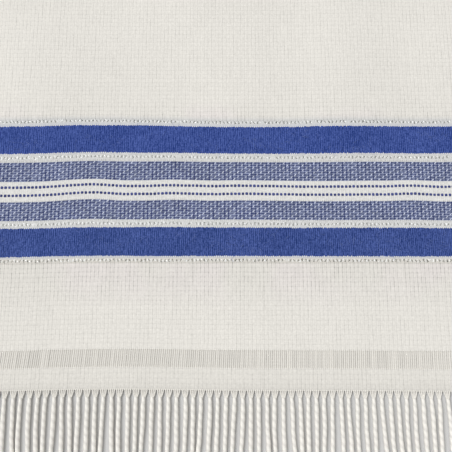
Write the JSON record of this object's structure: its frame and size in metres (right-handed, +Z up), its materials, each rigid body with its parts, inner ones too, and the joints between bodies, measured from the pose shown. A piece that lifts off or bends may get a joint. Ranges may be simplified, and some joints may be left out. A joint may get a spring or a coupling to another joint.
{
  "type": "tallit prayer shawl",
  "caption": "Wool prayer shawl laid out flat and open, with woven stripe groups and open warp bands near both ends, plain fringes and knotted corner tassels.",
  "frame": {"origin": "under the middle of the laid-out cloth, on the surface it lies on", "axes": "+X along the stripes, from selvedge to selvedge; +Y along the length, away from the shown end; +Z up from the surface"},
  "size_m": [1.6622, 1.9893, 0.0075],
  "materials": {
    "natural_wool": "matt off-white wool in a small basket weave, slightly hairy",
    "blue_wool": "royal blue wool weft that covers the warp, with fine ribs along the warp and loose hairs",
    "silver_stripe": "white wool with one pick of dull silver metal thread down its middle",
    "figured_stripe": "blue and white wool in a small two-colour figured weave",
    "dotted_stripe": "white wool with two rows of small dark blue floats",
    "bare_warp": "parallel off-white warp yarns with no weft, seen through between them",
    "fringe_wool": "warp yarns twisted in pairs",
    "tassel_string": "plied white wool string"
  },
  "bodies": {
    "root": {"middle_ground": "natural_wool", "near_end_strip": "natural_wool", "near_open_band": "bare_warp", "near_end_ground": "natural_wool", "near_blue_outer": "blue_wool", "near_silver_outer": "silver_stripe", "near_figured_outer": "figured_stripe", "near_dotted": "dotted_stripe", "near_figured_inner": "figured_stripe", "near_silver_inner": "silver_stripe", "near_blue_inner": "blue_wool", "near_fringe": "fringe_wool", "far_end_strip": "natural_wool", "far_open_band": "bare_warp", "far_end_ground": "natural_wool", "far_blue_outer": "blue_wool", "far_silver_outer": "silver_stripe", "far_figured_outer": "figured_stripe", "far_dotted": "dotted_stripe", "far_figured_inner": "figured_stripe", "far_silver_inner": "silver_stripe", "far_blue_inner": "blue_wool", "far_fringe": "fringe_wool", "tzitzit_near_left_loop": "tassel_string", "tzitzit_near_left_stem": "tassel_string", "tzitzit_near_left_strands": "tassel_string", "tzitzit_near_right_loop": "tassel_string", "tzitzit_near_right_stem": "tassel_string", "tzitzit_near_right_strands": "tassel_string", "tzitzit_far_left_loop": "tassel_string", "tzitzit_far_left_stem": "tassel_string", "tzitzit_far_left_strands": "tassel_string", "tzitzit_far_right_loop": "tassel_string", "tzitzit_far_right_stem": "tassel_string", "tzitzit_far_right_strands": "tassel_string"}
  },
  "joints": []
}
